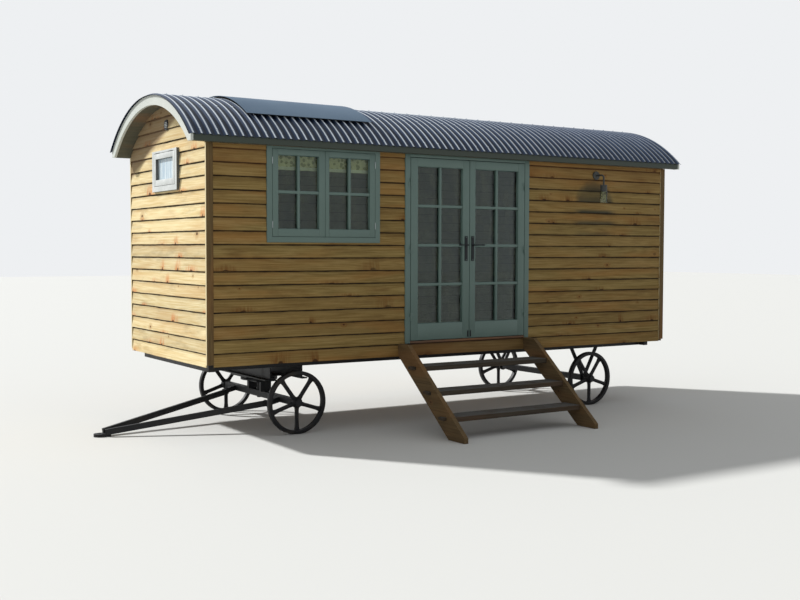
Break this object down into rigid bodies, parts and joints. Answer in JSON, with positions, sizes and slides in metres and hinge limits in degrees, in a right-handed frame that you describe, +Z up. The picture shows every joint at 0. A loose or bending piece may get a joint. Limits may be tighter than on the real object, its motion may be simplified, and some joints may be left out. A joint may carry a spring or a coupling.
{
  "type": "shepherds hut",
  "caption": "Shepherds hut with a curved corrugated roof, oak boarding, double glazed doors, cast wheels, a steering front axle with towing bar, and timber steps.",
  "frame": {"origin": "on the ground, at the middle of the part's box in plan", "axes": "+X along the hut away from the towing bar, -Y the door side, +Z up"},
  "size_m": [6.368, 3.13, 3.1438],
  "materials": {
    "oak_cladding": "oiled oak boards",
    "floor_boards": "planed boards",
    "roof_boards": "planed softwood boards",
    "roof_steel": "satin slate-grey coating",
    "cover_steel": "smooth slate-grey coating",
    "green_paint": "satin sage-green paint on timber",
    "clear_glass": "clear double glazing",
    "blind_linen": "patterned olive and cream linen",
    "dark_iron": "dark lacquered iron",
    "black_steel": "black painted steel",
    "cast_wheel": "black painted cast iron",
    "step_oak": "weathered oak",
    "lamp_metal": "weathered galvanised metal",
    "lamp_glass": "clear glass jar"
  },
  "bodies": {
    "hut": {"front_wall_left": "oak_cladding", "front_wall_right": "oak_cladding", "front_wall_over_door": "oak_cladding", "front_wall_under_door": "oak_cladding", "back_wall": "oak_cladding", "left_end_wall": "oak_cladding", "right_end_wall": "oak_cladding", "corner_boards": "oak_cladding", "floor": "floor_boards", "roof_deck": "roof_boards", "roof_sheet": "roof_steel", "roof_cover": "cover_steel", "bargeboards": "green_paint", "eaves_fascias": "green_paint", "front_window_frame": "green_paint", "end_window_frame": "green_paint", "window_sashes": "green_paint", "window_glass": "clear_glass", "window_blind": "blind_linen", "door_frame": "green_paint", "door_hinge_pins": "dark_iron", "chassis_rails": "black_steel", "chassis_cross_members": "black_steel", "turntable_frame": "black_steel", "rear_axle": "black_steel", "rear_axle_guards": "black_steel", "step_stringers": "step_oak", "step_treads": "step_oak", "lamp_bracket": "lamp_metal", "lamp_jar": "lamp_glass", "gable_vent": "dark_iron"},
    "left_door": {"left_door_leaf": "green_paint", "left_door_glass": "clear_glass", "left_door_hinges": "dark_iron", "left_door_plate": "dark_iron"},
    "left_lever": {"left_door_lever": "dark_iron"},
    "right_door": {"right_door_leaf": "green_paint", "right_door_glass": "clear_glass", "right_door_hinges": "dark_iron", "right_door_plate": "dark_iron"},
    "right_lever": {"right_door_lever": "dark_iron"},
    "front_axle": {"front_axle": "black_steel"},
    "front_near_wheel": {"front_near_wheel": "cast_wheel"},
    "front_far_wheel": {"front_far_wheel": "cast_wheel"},
    "rear_near_wheel": {"rear_near_wheel": "cast_wheel"},
    "rear_far_wheel": {"rear_far_wheel": "cast_wheel"},
    "towing_bar": {"towing_bar_arms": "black_steel", "towing_eye": "black_steel"}
  },
  "joints": [
    {"name": "left_door_swing", "type": "hinge", "parent": "hut", "child": "left_door", "pos_m": [-0.414, -0.5025, 0.826], "axis": [0, 0, -1], "range_deg": [0, 110]},
    {"name": "right_door_swing", "type": "hinge", "parent": "hut", "child": "right_door", "pos_m": [0.981, -0.5025, 0.826], "axis": [0, 0, 1], "range_deg": [0, 110]},
    {"name": "left_lever_turn", "type": "hinge", "parent": "left_door", "child": "left_lever", "pos_m": [0.2405, -0.535, 1.749], "axis": [0, -1, 0], "range_deg": [0, 40], "stiffness_Nm_per_rad": 1.5, "springref_deg": -20.05},
    {"name": "right_lever_turn", "type": "hinge", "parent": "right_door", "child": "right_lever", "pos_m": [0.3205, -0.535, 1.749], "axis": [0, 1, 0], "range_deg": [0, 40], "stiffness_Nm_per_rad": 1.5, "springref_deg": -20.05},
    {"name": "front_axle_steer", "type": "hinge", "parent": "hut", "child": "front_axle", "pos_m": [-1.546, 0.495, 0.449], "axis": [0, 0, 1], "range_deg": [-45, 45]},
    {"name": "towing_bar_lift", "type": "hinge", "parent": "front_axle", "child": "towing_bar", "pos_m": [-1.696, 0.495, 0.256], "axis": [0, 1, 0], "range_deg": [0, 25]},
    {"name": "front_near_wheel_spin", "type": "hinge", "parent": "front_axle", "child": "front_near_wheel", "pos_m": [-1.546, -0.315, 0.292], "axis": [0, 1, 0], "continuous": true},
    {"name": "front_far_wheel_spin", "type": "hinge", "parent": "front_axle", "child": "front_far_wheel", "pos_m": [-1.546, 1.305, 0.292], "axis": [0, 1, 0], "continuous": true},
    {"name": "rear_near_wheel_spin", "type": "hinge", "parent": "hut", "child": "rear_near_wheel", "pos_m": [2.054, -0.315, 0.292], "axis": [0, 1, 0], "continuous": true},
    {"name": "rear_far_wheel_spin", "type": "hinge", "parent": "hut", "child": "rear_far_wheel", "pos_m": [2.054, 1.305, 0.292], "axis": [0, 1, 0], "continuous": true}
  ]
}
